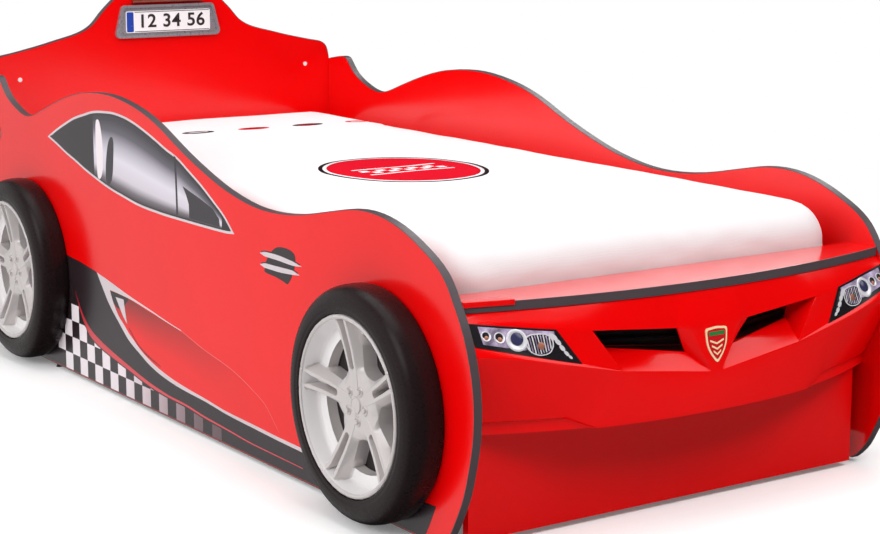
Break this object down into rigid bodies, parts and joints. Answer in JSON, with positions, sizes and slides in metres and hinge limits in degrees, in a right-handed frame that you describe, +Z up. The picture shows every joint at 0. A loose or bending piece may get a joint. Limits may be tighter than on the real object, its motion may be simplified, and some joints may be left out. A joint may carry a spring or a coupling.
{
  "type": "car bed for children",
  "caption": "Child's bed shaped as a red racing car, with side panels, moulded nose and wheels, mattress and a pull-out bed on castors.",
  "frame": {"origin": "on the floor under the middle of the bed", "axes": "+Z up, +Y towards the headboard, so the nose points to -Y, +X to the bed's right seen from the nose"},
  "size_m": [1.1252, 2.1883, 0.857],
  "materials": {
    "red_board": "red high-gloss laminated board",
    "edge_band": "dark grey satin edge band",
    "red_abs": "red high-gloss moulded shell",
    "black_plastic": "matt black",
    "headlight": "printed headlight under clear gloss",
    "tyre_plastic": "satin black moulded tyre",
    "rim_plastic": "silver lacquered moulded rim",
    "plate_grey": "silver grey frame",
    "plate_white": "white plate with blue band",
    "lamp_amber": "tinted lamp lens",
    "white_plastic": "white cap",
    "badge": "enamelled badge",
    "steel": "zinc plated",
    "plain_wood": "sanded pine and plywood",
    "mattress_fabric": "white knitted cover",
    "castor": "black castor"
  },
  "bodies": {
    "bed_frame": {"side_panel_left": "red_board", "side_panel_right": "red_board", "edge_band_left": "edge_band", "edge_band_right": "edge_band", "foot_glides": "black_plastic", "headboard": "red_board", "headboard_edge_band": "edge_band", "plate_frame": "plate_grey", "number_plate": "plate_white", "headboard_lamp_bar": "lamp_amber", "headboard_screw_caps": "white_plastic", "front_shelf": "red_board", "shelf_edge_strip": "edge_band", "corner_cap": "red_abs", "foot_panel": "red_board", "nose_shell": "red_abs", "headlight_left": "headlight", "headlight_right": "headlight", "grille_backing": "black_plastic", "badge_plate": "badge", "nose_brackets": "steel", "nose_screws": "steel", "tyre_front_left": "tyre_plastic", "tyre_front_right": "tyre_plastic", "tyre_rear_left": "tyre_plastic", "tyre_rear_right": "tyre_plastic", "rim_front_left": "rim_plastic", "rim_front_right": "rim_plastic", "rim_rear_left": "rim_plastic", "rim_rear_right": "rim_plastic", "wheel_centre_caps": "rim_plastic", "wheel_nuts": "rim_plastic", "wheel_screws": "steel", "side_rail_left": "plain_wood", "side_rail_right": "plain_wood", "cross_beams": "plain_wood", "bed_slats": "plain_wood", "mattress": "mattress_fabric", "corner_brackets": "steel", "bracket_screws": "steel"},
    "trundle": {"trundle_front": "red_board", "trundle_front_band": "edge_band", "trundle_side_left": "plain_wood", "trundle_side_right": "plain_wood", "trundle_back": "plain_wood", "trundle_base": "plain_wood", "trundle_mattress": "mattress_fabric", "castor_brackets": "steel", "castor_pins": "steel", "trundle_screws": "steel"},
    "castors_front": {"castor_wheels_front": "castor"},
    "castors_rear": {"castor_wheels_rear": "castor"}
  },
  "joints": [
    {"name": "trundle_slide", "type": "slide", "parent": "bed_frame", "child": "trundle", "axis": [0, -1, 0], "range_m": [0, 1.75]},
    {"name": "castor_front_spin", "type": "hinge", "parent": "trundle", "child": "castors_front", "pos_m": [0, -0.8279, 0.025], "axis": [1, 0, 0], "continuous": true},
    {"name": "castor_rear_spin", "type": "hinge", "parent": "trundle", "child": "castors_rear", "pos_m": [0, 0.8221, 0.025], "axis": [1, 0, 0], "continuous": true}
  ],
  "couplings": [
    {"joint": "castor_front_spin", "follows": "trundle_slide", "rad_per_m": 40},
    {"joint": "castor_rear_spin", "follows": "trundle_slide", "rad_per_m": 40}
  ]
}
